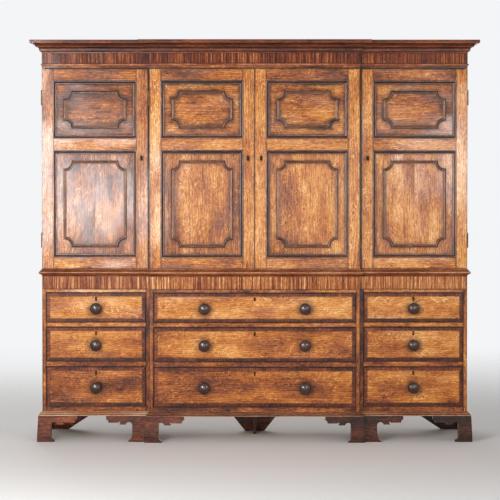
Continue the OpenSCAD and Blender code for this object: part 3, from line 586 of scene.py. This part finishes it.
def wood(name, colours, ring_mm=8.0, ring=0.12, fibre=0.13, fibre_size=(10.0, 190.0), pore=0.16,
         mottle=0.18, blotch=0.15, fleck=0.0, grime=0.9, worn=0.3, rough=0.55, coat=0.9,
         coat_rough=0.18, shine=1.4, bump=0.12, marks=False, wavy=0.0):
    """Value = tone + mottle + blotches + fibres + pores - rings + flecks, and dirt and painted shade mixed
    over its colour.
    """
    material, add = sheet_of(name)
    read = {k: add("ShaderNodeAttribute", settings={"attribute_name": k}).outputs["Vector"]
            for k in ("grain", "half", "look", "spot", "mark")}
    seed, tone, dirt = add(AXES, (read["look"],)).outputs
    shift = add(VECTOR, {0: (3.71, 1.93, 0.87), "Scale": seed}, {"operation": "SCALE"})
    place = add(VECTOR, (read["grain"], shift), {"operation": "ADD"})
    along, across, into = add(AXES, (place,)).outputs

    def noise(scale, detail=3.0, roughness=0.55, where=place):
        """Mostly from -1 to 1, with scale in features per metre along, across and into the board."""
        where = add(VECTOR, (where, scale), {"operation": "MULTIPLY"})
        node = add("ShaderNodeTexNoise", {"Vector": where}, Scale=1.0, Detail=detail, Roughness=roughness)
        return add("MULTIPLY_ADD", (node, 4.0, -2.0))

    # Mottle of the polish, 90 by 250 mm, and blotches of 10 by 28 mm
    slow = noise((4.0, 11.0, 11.0), 2.0)
    spots = noise((36.0, 100.0, 100.0), 3.0, 0.6)
    # Fibres, coarser than real ones so that they show
    fibres = noise((fibre_size[0], fibre_size[1], fibre_size[1]), 4.0, 0.62)
    # Bundles of pores 2.5 mm wide and 16 mm long. Single pores are a tenth as wide
    pores = noise((62.0, 400.0, 400.0), 2.0, 0.6)
    rings = growth_rings(add, noise, seed, across, spots, ring_mm)
    hue = add("ShaderNodeTexWhiteNoise", {"W": seed}, {"noise_dimensions": "1D"})
    hue = add("SUBTRACT", (hue, 0.5))
    value = tone
    for pattern, amount in [(slow, mottle), (spots, blotch), (fibres, fibre), (pores, pore), (rings, -ring),
                            (hue, BOARD)]:
        value = add("MULTIPLY_ADD", (pattern, amount, value))
    if fleck:
        value = with_flecks(add, noise, value, slow, along, across, into, fleck)
    soil = edge_dirt(add, noise, read)
    if marks:
        soil = with_marks(add, noise, read, soil)
    soil = add("ADD", (soil, add("MAXIMUM", (dirt, 0.0))), CLAMP)
    # Where the value is below zero the ridge is worn paler, which also paints a highlight on it
    bare = add("MAXIMUM", (add("MULTIPLY", (dirt, -1.0)), 0.0))
    value = add("MULTIPLY_ADD", (bare, worn, value), CLAMP)

    ramp = add("ShaderNodeValToRGB", (value,))
    set_stops(ramp, colours)
    cover = add("MULTIPLY", (soil, grime), CLAMP)
    dirty = add("ShaderNodeMix", {0: cover, 6: ramp, 7: linear(SOIL)}, {"data_type": "RGBA"})

    height = add("MULTIPLY_ADD", (fibres, 0.5, pores))
    relief = add("ShaderNodeBump", {"Height": height}, Strength=bump, Distance=0.0004)
    gloss = add("MULTIPLY_ADD", (soil, 0.12, add("MULTIPLY_ADD", (slow, 0.03, rough))))
    sockets = {"Base Color": dirty.outputs[2], "Roughness": gloss, "Normal": relief}
    if coat:
        # The wax film is thin on proud fibres and thick between them
        film = add("MULTIPLY_ADD", (spots, 0.18 * coat, coat * 0.9))
        film = add("MAXIMUM", (add("MULTIPLY_ADD", (fibres, 0.22 * coat, film)), 0.0))
        # Old boards swell and cup over 150 mm, here more than in truth, so glare breaks up into patches
        swell = add("ShaderNodeBump", {"Height": noise((3.0, 6.0, 6.0), 1.0)}, Strength=1.0,
                    Distance=wavy * MM)
        sockets |= {"Coat Weight": film, "Coat Normal": swell, "Coat Roughness": coat_rough,
                    "Coat IOR": shine}
    shader = add("ShaderNodeBsdfPrincipled", sockets, Specular_IOR_Level=0.12)
    add("ShaderNodeOutputMaterial", (shader,))
    return material


# %% [markdown]
# ## The woods of the cupboard
# English oak, planed and waxed for two centuries, runs from dark honey to straw. It is full of flecks, and
# the wax gives it a soft shine over a dry ground. The upright stripes of the friezes are mahogany in short
# thin sheets, so they look streaky. Cornice, waist, beads and the bands round the drawers are mahogany too,
# stained dark under a thin polish. The mouldings on the doors have hard wax, black in the hollows, and are
# rubbed paler on the ridges; the black also paints shade in the hollows, and the paler ridges paint
# highlights. The base moulding is oak, dull with dust. The inside is pine, planed and left bare, so it
# looks dry.

# %% Oak, mahogany and pine
OAK = wood("waxed_oak", [(0.0, "#200903"), (0.18, "#552309"), (0.36, "#8C4616"), (0.52, "#B56722"),
                         (0.68, "#D38B3F"), (0.84, "#E4A962"), (1.0, "#F2CA93")], fibre=0.11, pore=0.15,
           mottle=0.22, blotch=0.13, fleck=0.34, marks=True, wavy=1.8)
BAND = wood("crossbanded_mahogany", [(0.0, "#1A0602"), (0.25, "#501A07"), (0.5, "#8D4217"),
                                     (0.7, "#B87238"), (0.85, "#D9A468"), (1.0, "#EBCB98")],
            ring_mm=9, ring=0.06, fibre=0.46, fibre_size=(5.0, 165.0), mottle=0.12, blotch=0.04, grime=0.8,
            coat=0.45, wavy=1.0)
DARK = wood("dark_mahogany", [(0.0, "#0D0503"), (0.25, "#2C140B"), (0.5, "#652F19"), (0.75, "#9A522C"),
                              (1.0, "#CB8E60")], ring=0.03, worn=0.22, rough=0.45, shine=1.3, wavy=0.6)
MOULD = wood("waxed_mahogany", [(0.0, "#140804"), (0.25, "#3A1C10"), (0.5, "#744328"), (0.75, "#A66D49"),
                                (1.0, "#D3A276")], ring=0.03, mottle=0.16, grime=1.0, worn=0.30, rough=0.45,
             coat=1.0, coat_rough=0.22, shine=1.44, wavy=0.6)
DUSTY = wood("dusty_oak", [(0.0, "#1E0F08"), (0.25, "#4E2A19"), (0.5, "#875237"), (0.75, "#B07C5B"),
                           (1.0, "#CFA888")], coat=0.4, coat_rough=0.35, wavy=0.6)
PINE = wood("bare_pine", [(0.0, "#3E2A1A"), (0.3, "#83603E"), (0.55, "#AB8558"), (0.8, "#C6A273"),
                          (1.0, "#DCC29A")], ring_mm=10, ring=0.2, grime=0.5, rough=0.7, coat=0.0)
print("woods", [w.name for w in (OAK, BAND, DARK, MOULD, DUSTY, PINE)])

# %% [markdown]
# ## Knobs, brass and bare wood
# The knobs were turned from a dark close wood, and hands and polish have made them black and bright. Hinges
# and locks are cast brass, brown with age, and the thin threads that line the keyholes are nearly black.
# Metal needs no grain. Its colour drifts in patches, and what is rubbed shines more than the tarnish.

# %% Knob wood and brass
EBONISED = wood("turned_dark_knobs", [(0.0, "#0A0403"), (0.3, "#2A110B"), (0.6, "#4C2619"),
                                      (1.0, "#744A38")], ring=0.04, fibre=0.10, pore=0.04, mottle=0.14,
                blotch=0.06, grime=0.3, worn=0.3, rough=0.4, coat=1.0, coat_rough=0.2, shine=1.52, bump=0.05)


def aged_brass(name, tarnish, metal):
    """Brass colour mixed with tarnish by noise of 9 mm, and roughness by the same noise."""
    material, add = sheet_of(name)
    place = add("ShaderNodeTexCoord").outputs["Object"]
    patches = add("ShaderNodeTexNoise", {"Vector": place}, Scale=110.0, Detail=3.0)
    ramp = add("ShaderNodeValToRGB", (patches,))
    set_stops(ramp, [(0.3, tarnish), (0.7, metal)])
    rough = add("MULTIPLY_ADD", (patches, -0.25, 0.58))
    shader = add("ShaderNodeBsdfPrincipled", {"Base Color": ramp, "Roughness": rough}, Metallic=1.0)
    add("ShaderNodeOutputMaterial", (shader,))
    return material


BRASS = aged_brass("aged_brass", "#33240F", "#8A6E3A")
THREAD = aged_brass("blackened_brass", "#080503", "#1C130C")
print("metal", BRASS.name, THREAD.name)

# %% [markdown]
# ## The two carcasses
# Sides, tops, bottoms, backs, rails and shelves are plain planed boards. They come from the joiner's model
# with eased edges, so their joints stay as cut. They are oak where they show, and softwood inside.

# %% Plain boards of the case
# Bottom, second, first and top rail of the left bay, then of the centre bay and the right bay
RAILS_TONE = [0.28, 0.20, 0.48, 0.62, 0.28, 0.20, 0.40, 0.38, 0.30, 0.38, 0.43, 0.46]
for order, (node, material, slot, tones) in enumerate([
    ("lower_case_sides", OAK, "oak", [0.30, 0.22, 0.38, 0.40, 0.20, 0.38]),
    # Its inner boards show in the gaps at the breakfront, and tone 0 paints them near black as the gaps'
    # shade
    ("upper_case_sides", OAK, "oak", [0.42, 0.0, 0.0, 0.0, 0.0, 0.42]),
    ("drawer_rails", OAK, "oak", RAILS_TONE), ("drawer_runners", PINE, "pine", [0.45]),
    ("lower_case_boards", PINE, "pine", [0.5]), ("lower_case_backs", PINE, "pine", [0.45]),
    ("upper_case_boards", PINE, "pine", [0.5]), ("upper_case_backs", PINE, "pine", [0.45]),
    ("shelves", PINE, "pine", [0.5]), ("back_feet", OAK, "oak", [0.08]),
]):
    seed = 10.0 + 7.0 * order
    boards = [as_board(s, seed + 1.31 * k, tones[k % len(tones)]) for k, s in enumerate(solids(node))]
    make(node + "_boards", boards, [material], "case", slot, [node], 0.8)

# %% [markdown]
# ## Friezes
# Each frieze is an oak board faced with mahogany whose grain stands upright, in bundles of short veneers.
# So the stripes run up and down. Under the upper frieze lies a half round bead, cut with a plane.

# %% Friezes with upright grain
VENEER_MAX = 4
BOARD_MAX = 30
BEAD_MAX = 20


def frieze_parts(node, seed, tone_oak, tone_band, drift):
    """A thin solid is veneer, with its grain upright, and a thick one is oak. The low bead is left out."""
    parts = []
    for k, solid in enumerate(solids(node)):
        _, depth, height = sizes(solid)
        if height <= BEAD_MAX or depth >= BOARD_MAX:
            continue
        if depth < VENEER_MAX:
            tone = tone_band + drift * solid[0][:, 0].mean() / HALF_W
            parts.append(as_board(solid, seed + 2.3 * k, tone, order=(2, 0, 1), finish=1))
        else:
            parts.append(as_board(solid, seed + 1.7 * k, tone_oak))
    return parts


for name, seed, *tones in [("lower_frieze", 90.0, 0.42, 0.55, 0.09), ("upper_frieze", 110.0, 0.18, 0.33, 0)]:
    make(name + "_boards", frieze_parts(name + "s", seed, *tones), [OAK, BAND], "case", "mahogany",
         [name + "s"], 0.5)
make("upper_frieze_bead", round_plan(BEAD, BEAD_Z, 140.0, 0.55), [DARK], "case", "dark_mahogany")

# %% [markdown]
# ## Cornice, waist and base
# Each is seven lengths, mitred at the corners of the plan. A pine rail closes the cornice at the back, and
# the waist moulding is glued to three strips that lie behind it on the lower part.

# %% The cornice
long_rails = [s for s in solids("cornice") if sizes(s)[0] > 2000 and sizes(s)[1] < 25]
back_rail = as_board(long_rails[0], 150.0, finish=1)
make("cornice_lengths", [*round_plan(CORNICE, CORNICE_Z, 160.0, 0.37), back_rail], [DARK, PINE], "case",
     "dark_mahogany", ["cornice"])


# %% A plain box
def box(x, y, z):
    """Eight corners and six outward faces of a board between the given limits."""
    points = np.array([(a, b, c) for c in z for b in y for a in x], float)
    faces = [(0, 2, 3, 1), (4, 5, 7, 6), (0, 1, 5, 4), (2, 6, 7, 3), (0, 4, 6, 2), (1, 3, 7, 5)]
    return points, faces


# %% Waist and base
TONGUE_Z = (880, 899)
TONGUE_DEEP = 22
BASE_TONE = [0.45, 0.57, 0.36, 0.29, 0.36, 0.42, 0.42]

tongues = []
for b, (left, right) in enumerate([(-HALF_W, -HALF_C), (-HALF_C, HALF_C), (HALF_C, HALF_W)]):
    y = (BAY_Y[b] + GLUE, BAY_Y[b] + TONGUE_DEEP)
    tongues.append(as_board(box((left + GLUE, right - GLUE), y, TONGUE_Z), 180.0 + b, 0.45))
make("waist_lengths", round_plan(WAIST, WAIST_Z, 170.0, 0.63) + tongues, [DARK], "case", "dark_mahogany",
     ["waist_moulding"])
make("base_lengths", round_plan(BASE, FOOT_H, 190.0, BASE_TONE), [DUSTY], "case", "oak", ["base_moulding"])

# %% Feet
feet = []
for k, solid in enumerate(solids("bracket_feet")):
    wide, deep, _ = sizes(solid)
    glue_block = abs(wide - deep) < 1 and wide < 50
    # Feet are painted darker towards the right, as shade from light at the left
    tone = 0.36 - 0.11 * solid[0][:, 0].mean() / HALF_W
    feet.append(as_board(solid, 200.0 + 1.3 * k, tone, finish=int(glue_block)))
make("bracket_feet_shaped", feet, [DARK, PINE], "case", "mahogany", ["bracket_feet"], 0.7)

# %% [markdown]
# ## Doors
# A door is two stiles and three rails round two flat panels. A moulding with mitres covers the joint
# between frame and panel, and a second moulding with hollow corners stands on each panel. The upper panel's
# grain lies across the door. The lower panel's grain stands upright, in two boards glued up the middle.

# %% The outline with hollow corners
def hollow_outline(width, height, w, a=42.0, e=4.0, count=14):
    """Points anticlockwise, w inside a rectangle. At each corner a circle of radius a - e + w bites in."""
    radius = a - e + w
    turn = math.degrees(math.asin(max(w - e, 0.0) / radius))
    bite = arc((width / 2 - e, height / 2 - e), radius, 270 - turn, 180 + turn, count)
    first = (width / 2 - w, bite[0, 1])
    last = (bite[-1, 0], height / 2 - w)
    corner = np.vstack([first, bite, last])
    quarter = [corner, corner[::-1] * (-1, 1), corner * (-1, -1), corner[::-1] * (1, -1)]
    return np.vstack(quarter), len(corner)


# The upright lengths are painted paler, and the top, bottom and corners darker, as lit and shaded sides
RAISED_TONE = {"corner": 0.16, "top": 0.22, "left": 0.38, "bottom": 0.26, "right": 0.38}


def raised(x, z, y, seed):
    """The profile's (w, h): outline at w, standing h in front of the panel. Cut into corners and lengths."""
    outlines = [hollow_outline(x[1] - x[0], z[1] - z[0], w) for w in RAISED[:, 0]]
    size = outlines[0][1]
    flat = np.stack([o[0] for o in outlines], axis=1) + ((x[0] + x[1]) / 2, (z[0] + z[1]) / 2)
    depth = np.broadcast_to(y - RAISED[:, 1], flat.shape[:2])
    rings = np.stack([flat[:, :, 0], depth, flat[:, :, 1]], axis=2)
    rings = np.concatenate([rings, rings[:1]])
    parts = []
    for c, length in enumerate(["top", "left", "bottom", "right"]):
        end = (c + 1) * size
        parts.append(carried(RAISED, rings[c * size : end], seed + c, RAISED_TONE["corner"]))
        parts.append(carried(RAISED, rings[end - 1 : end + 1], seed + 5 + c, RAISED_TONE[length]))
    return parts


# %% Keyhole threads
def thread(x, z, y, wide, out=0.3, back=1.5):
    """A ring between two keyhole outlines, that far apart: a circle above a slot that widens downwards."""
    def outline(grow):
        head = arc((0, 4.9), 2.2 + grow, -40, 220, 16)
        foot = [(-2.0 - grow, -7.1 - grow), (2.0 + grow, -7.1 - grow)]
        return np.vstack([head, foot])

    rows = [(0.0, back), (0.0, -out), (wide, -out), (wide, back)]
    points = []
    for grow, depth in rows:
        edge = outline(grow)
        points.append(np.column_stack([x + edge[:, 0], np.full(len(edge), y + depth), z + edge[:, 1]]))
    count = len(edge)
    # The fifth row is the first again
    quads = sleeve(len(rows) + 1, count)[:-2]
    faces = [[i % (len(rows) * count) for i in reversed(quad)] for quad in quads]
    return part(np.vstack(points), faces, np.zeros(3), np.zeros(3))


# %% Plugs and old nail holes
def disc(x, z, y, radius, seed, tone, dirt, sides=28):
    """A plug 1 mm deep, 0.15 mm proud, dirty on its rim, and on its face by the dirt value."""
    angle = np.linspace(0, 2 * np.pi, sides, endpoint=False)
    circle = radius * np.column_stack([np.cos(angle), np.zeros(sides), np.sin(angle)])
    points = np.vstack([circle * 0.7 + (0, -0.15, 0), circle + (0, -0.15, 0), circle + (0, 1, 0)])
    faces = [face[::-1] for face in sleeve(3, sides)]
    dirt = np.repeat([dirt, 1.0, 1.0], sides)
    return part(points + (x, y, z), faces, points[:, [2, 0, 1]], NO_EDGES, seed, tone, dirt)


# %% Measures of the doors
DOORS = [("left_wing", -1106.0, -555.0, -1, 0), ("centre_left", -545.0, -1.0, -1, 1),
         ("centre_right", 1.0, 545.0, 1, 1), ("right_wing", 555.0, 1106.0, 1, 2)]
STILE = 60.0
BOTTOM_RAIL = 59
MIDDLE_RAIL = 64
LOW_PANEL = 554.0
HIGH_PANEL = 298.0
PANELS = [(DOOR_Z + BOTTOM_RAIL, LOW_PANEL), (DOOR_Z + BOTTOM_RAIL + LOW_PANEL + MIDDLE_RAIL, HIGH_PANEL)]
PANEL_BACK = 10
PANEL_THICK = 8
RAISED_IN = 51
KEY_IN = 33
KEY_Z = 1475.0
# Dirt and painted shade at a panel's edge start under the moulding, not at the visible edge
UNDER = (9.0, 9.0, 0.0)
print("panels from and how high", PANELS)

# %% Tones and repairs of the doors
STILE_TONE = [0.47, 0.60, 0.60, 0.58]
RAIL_TONE = [[0.49, 0.46, 0.45, 0.58], [0.42, 0.52, 0.52, 0.50], [0.37, 0.35, 0.36, 0.38]]
PANEL_TONE = [[0.33, 0.46, 0.52, 0.52], [0.30, 0.47, 0.44, 0.44]]
# Bottom, right, top and left length: the top is painted darker as shade and the sides paler as sheen
FRAME_TONE = (0.25, 0.27, 0.14, 0.27)
# Amount of wax and painted shade on the lower and the upper panels
WAX = [0.7, 1.15]
# Door, x, z, depth behind the frame's face, radius and dirt: an old plug in one stile, three nail holes by
# a hinge, and two worm holes in a panel
REPAIRS = [(2, 508.0, 1485.0, 0, 13.0, 0.0), (0, -1097.0, 1826.0, 0, 3.2, 1.0),
           (0, -1096.0, 1807.0, 0, 3.2, 1.0), (0, -1095.0, 1782.0, 0, 3.4, 1.0),
           (3, 693.0, 1367.0, PANEL_BACK, 2.2, 1.0), (3, 717.0, 1248.0, PANEL_BACK, 2.2, 1.0)]

# %% Four doors
for d, (side, x0, x1, hinge, bay) in enumerate(DOORS):
    body = "door_" + side
    face = BAY_Y[bay]
    seed = 300.0 + 20 * d
    key = x1 - KEY_IN if hinge < 0 else x0 + KEY_IN
    frame_parts = []
    for k, solid in enumerate(solids(body + "_frame")):
        low = solid[0].min(axis=0)
        high = solid[0].max(axis=0)
        upright = high[2] - low[2] > 500
        level = 0 if low[2] < DOOR_Z + 1 else 2 if high[2] > DOOR_Z + DOOR_H - 1 else 1
        board = as_board(solid, seed + k, STILE_TONE[d] if upright else RAIL_TONE[level][d])
        if upright and low[0] < key < high[0]:
            marked(board, key, KEY_Z, HANDS, (0.0, 10.0, 16.0))
        frame_parts.append(board)
    make(body + "_stiles_rails", frame_parts, [OAK], body, "oak", [body + "_frame"], 0.7)
    fixed = [disc(rx, rz, face + behind, radius, seed + rz, 0.66, dirt)
             for at, rx, rz, behind, radius, dirt in REPAIRS if at == d]
    if fixed:
        make(body + "_repairs", fixed, [OAK], body, "oak", smooth=0)
    x = (x0 + STILE, x1 - STILE)
    middle = (x[0] + x[1]) / 2
    back = face + PANEL_BACK
    boards = []
    mouldings = []
    for k, (bottom, height) in enumerate(PANELS):
        z = (bottom, bottom + height)
        for j, span in enumerate([x] if k else [(x[0], middle - 0.03), (middle + 0.03, x[1])]):
            board = box(span, (back, back + PANEL_THICK), z)
            board = as_board(board, seed + 6 + 2 * k + j, PANEL_TONE[k][d])
            board["half"] = board["half"] + UNDER
            # Wax and painted shade beside the raised moulding and at the panel's edge
            outline = ((x[1] - x[0]) / 2 - RAISED_IN, height / 2 - RAISED_IN, WAX[k])
            boards.append(marked(board, middle, bottom + height / 2, WAXED, outline))
        mouldings += framed(x, z, back, FRAME_MOULD, seed + 10 + k, FRAME_TONE)
        mouldings += raised((x[0] + RAISED_IN, x[1] - RAISED_IN), (z[0] + RAISED_IN, z[1] - RAISED_IN), back,
                            seed + 12 + k)
    make(body + "_flat_panels", boards, [OAK], body, "oak", [body + "_panels"], 0.3)
    make(body + "_panel_mouldings", mouldings, [MOULD], body, "dark_mahogany", [body + "_mouldings"])
    make(body + "_key_thread", [thread(key, KEY_Z, face, 4.6)], [THREAD], body, "brass")

# %% [markdown]
# ## Drawers
# A drawer front is an oak board with a band of cross-cut mahogany let in round it, and a cock bead, a thin
# half round strip, that guards its edges. The lock sits behind, and its keyhole is lined with a thread.

# %% Turned knobs
KNOB = np.vstack([[(9, -20), (9, -0.2), (16, 0), (16.8, 0.8), (16.8, 2.6), (15.6, 3.6)],
                  arc((17.6, 8.4), 5.4, 235, 140, 8), arc((13.2, 29.2), 16.8, -62, 60, 16),
                  [(20.4, 44.2), (19.8, 43.8), (19.0, 44.4)], arc((0, -12), 59, 71.5, 89.5, 10)])


def turned(x, z, y, seed, tone, count=56):
    """Each profile point (r, out) goes round a circle of radius r, at the distance out before the face."""
    angle = np.linspace(0, 2 * np.pi, count, endpoint=False)
    rim = KNOB[:, :1]
    px = rim * np.cos(angle)
    pz = rim * np.sin(angle)
    py = np.broadcast_to(-KNOB[:, 1:], px.shape)
    points = np.stack([px, py, pz], axis=2).reshape(-1, 3)
    # The knob's hollows get dirt and painted shade, its rounded ridges wear and a painted highlight
    dirt, _, _ = hollows(KNOB)
    dirt[[0, 1, -1]] = 0
    return part(points + (x, y, z), sleeve(len(KNOB), count), points[:, [1, 0, 2]], NO_EDGES, seed, tone,
                np.repeat(dirt, count))


# %% Measures of the drawers
TIERS = [("bottom", (0.37, 0.39, 0.45)), ("middle", (0.46, 0.49, 0.53)), ("top", (0.52, 0.61, 0.60))]
# Bottom, right, top and left band: the left is painted paler as sheen and the bottom darkest as shade
BAND_TONE = (0.16, 0.18, 0.26, 0.32)
BAND_IN = (18.5, 18.5, 0.0)
PLAY = 0.9
KNOB_X = 262.0
KNOB_DROP = 5
LOCK_DROP = 32.5
print("knobs each way from the centre", KNOB_X)

# %% Nine drawers
for b, bay in enumerate(["left", "centre", "right"]):
    for t, (tier, tones) in enumerate(TIERS):
        body = f"drawer_{bay}_{tier}"
        seed = 400.0 + 31 * b + 9 * t
        face = BAY_Y[b]
        x = (BAY_X[b][0] + PLAY, BAY_X[b][1] - PLAY)
        z = (TIER_Z[t] + 0.3, TIER_Z[t] + TIER_H[t] - PLAY)
        centre = (BAY_X[b][0] + BAY_X[b][1]) / 2
        middle = (z[0] + z[1]) / 2 - KNOB_DROP
        reach = KNOB_X if bay == "centre" else 0.0
        places = [centre - reach, centre + reach] if reach else [centre]
        parts = []
        for solid in solids(body + "_front"):
            wide, deep, _ = sizes(solid)
            if deep > 19:
                board = as_board(solid, seed, tones[b], order=(0, 2, 1))
                board["half"] = board["half"] - BAND_IN
                # Hand dirt round the knobs, which also paints the knobs' shadow
                parts.append(marked(board, centre, middle, HANDS, (reach, 38.0, 38.0)))
            elif wide < 70:
                parts.append(as_board(solid, seed, finish=2))
        make(body + "_board", parts, [OAK, BAND, BRASS], body, "oak", [body + "_front"], 0.5)
        bands = framed(x, z, face, BANDING, seed + 2, BAND_TONE, across=True)
        make(body + "_banding", bands, [DARK], body, "mahogany", ease=0.25)
        beads = framed(x, z, face, COCK_BEAD, seed + 4, 0.10)
        make(body + "_cock_bead", beads, [DARK], body, "dark_mahogany")
        boxes = [as_board(s, seed + 5 + k) for k, s in enumerate(solids(body + "_box"))]
        make(body + "_inner_box", boxes, [PINE], body, "pine", [body + "_box"], 0.6)
        knobs = [turned(kx, middle, face, seed + 6 + kx / 100, 0.3) for kx in places]
        make(body + "_turned_knobs", knobs, [EBONISED], body, "ebonised", [body + "_knobs"], smooth=30)
        make(body + "_key_thread", [thread(centre, z[1] - LOCK_DROP, face, 3.4)], [THREAD], body, "brass")

# %% Brass that the joiner's model already has
for node in ["hinge_fixed_leaves"] + [f"door_{d[0]}_fittings" for d in DOORS]:
    mesh_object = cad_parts[node]
    for slot in mesh_object.material_slots:
        slot.material = BRASS
print("brass nodes given their metal")

# %% [markdown]
# ## Camera, light and floor
# The viewer stands 10.5 m before the wings with a long lens and the eye at 1.4 m, and looks down a little.
# So the middle bay's lines run almost level with the wings' lines. Half of the framing comes from a lens
# shift. A small window and a tall one at the left front, and one at the right, leave glare on the wax. A
# wide lamp far in front is the room, two large ones high at both sides soften the shadows, and one lights
# the back. The surround is pale, and brighter where it is seen or mirrored than where it only lights.

# %% Camera
view = bpy.data.cameras.new("camera")
view.sensor_width = 36.0
view.lens = 145.4
view.shift_x = -0.0094
view.shift_y = -0.075
camera = bpy.data.objects.new("camera", view)
camera.location = (0.0, -10.7135, 1.400)
camera.rotation_euler = (math.radians(90 - 1.13), 0.0, 0.0)
bpy.context.scene.collection.objects.link(camera)
bpy.context.scene.camera = camera
print("camera at", camera.location[:])

# %% Lamps
def lamp(name, place, target, size, watts, colour="#FFFFFF"):
    """A square area lamp that looks from its place towards the target."""
    light = bpy.data.lights.new(name, "AREA")
    light.shape = "RECTANGLE"
    light.size, light.size_y = size
    light.energy = watts
    light.color = linear(colour)[:3]
    thing = bpy.data.objects.new(name, light)
    thing.location = place
    way = np.array(target, float) - np.array(place, float)
    tilt = math.atan2(math.hypot(way[0], way[1]), -way[2])
    thing.rotation_euler = (tilt, 0.0, math.atan2(-way[0], way[1]))
    thing.visible_camera = False
    bpy.context.scene.collection.objects.link(thing)


lamp("window", (-1.22, -4.4, 1.18), (-0.9, 0, 1.25), (0.72, 0.42), 34)
lamp("tall window", (-1.80, -4.4, 1.70), (-1.1, 0, 1.5), (0.22, 1.4), 68)
lamp("right window", (1.52, -4.4, 1.5), (1.0, 0, 1.4), (0.45, 0.6), 20)
lamp("room", (0.0, -12.0, 1.15), (0, 0, 1.15), (4.8, 1.4), 80)
lamp("left sky", (-3.2, -4.4, 2.6), (0, 0, 1.0), (2.2, 2.2), 39)
lamp("fill", (3.4, -4.6, 2.4), (0, 0, 1.0), (2.4, 2.4), 28)
lamp("behind", (-1.0, 5.5, 3.2), (0, 0, 0.9), (3.5, 2.5), 110)
world = bpy.data.worlds.new("studio")
bpy.context.scene.world = world
world.use_nodes = True
world.node_tree.nodes.clear()
add = functools.partial(add_node, world.node_tree)
rays = add("ShaderNodeLightPath").outputs
seen = add("MAXIMUM", (rays["Is Glossy Ray"], rays["Is Transmission Ray"]))
seen = add("MAXIMUM", (rays["Is Camera Ray"], seen))
level = add("MULTIPLY_ADD", (seen, 0.68, 0.29))
back = add("ShaderNodeBackground", {"Strength": level}, Color=linear("#F7F8FA"))
add("ShaderNodeOutputWorld", (back,))
bpy.context.scene.view_settings.view_transform = "Standard"
print("lamps and world set")

# %% [markdown]
# The floor is pale and plain. It turns clear from 1.6 m to 6 m out from the cupboard's middle, so the
# studio's own white takes over without a line.

# %% Floor
floor_mesh = bpy.data.meshes.new("floor")
floor_mesh.from_pydata([(-12, -12, 0), (12, -12, 0), (12, 12, 0), (-12, 12, 0)], [], [(0, 1, 2, 3)])
pale, add = sheet_of("pale_floor")
near = add("ShaderNodeBsdfPrincipled", Base_Color=linear("#EFEEEC"), Roughness=0.85)
far = add("ShaderNodeBsdfTransparent")
place = add("ShaderNodeTexCoord").outputs["Object"]
distance = add(VECTOR, (place,), {"operation": "LENGTH"}).outputs["Value"]
fade = add("ShaderNodeMapRange", {"Value": distance}, {"interpolation_type": "SMOOTHSTEP"},
           From_Min=1.6, From_Max=6.0)
both = add("ShaderNodeMixShader", (fade, near, far))
add("ShaderNodeOutputMaterial", (both,))
floor_mesh.materials.append(pale)
ground = bpy.data.objects.new("floor", floor_mesh)
bpy.context.scene.collection.objects.link(ground)
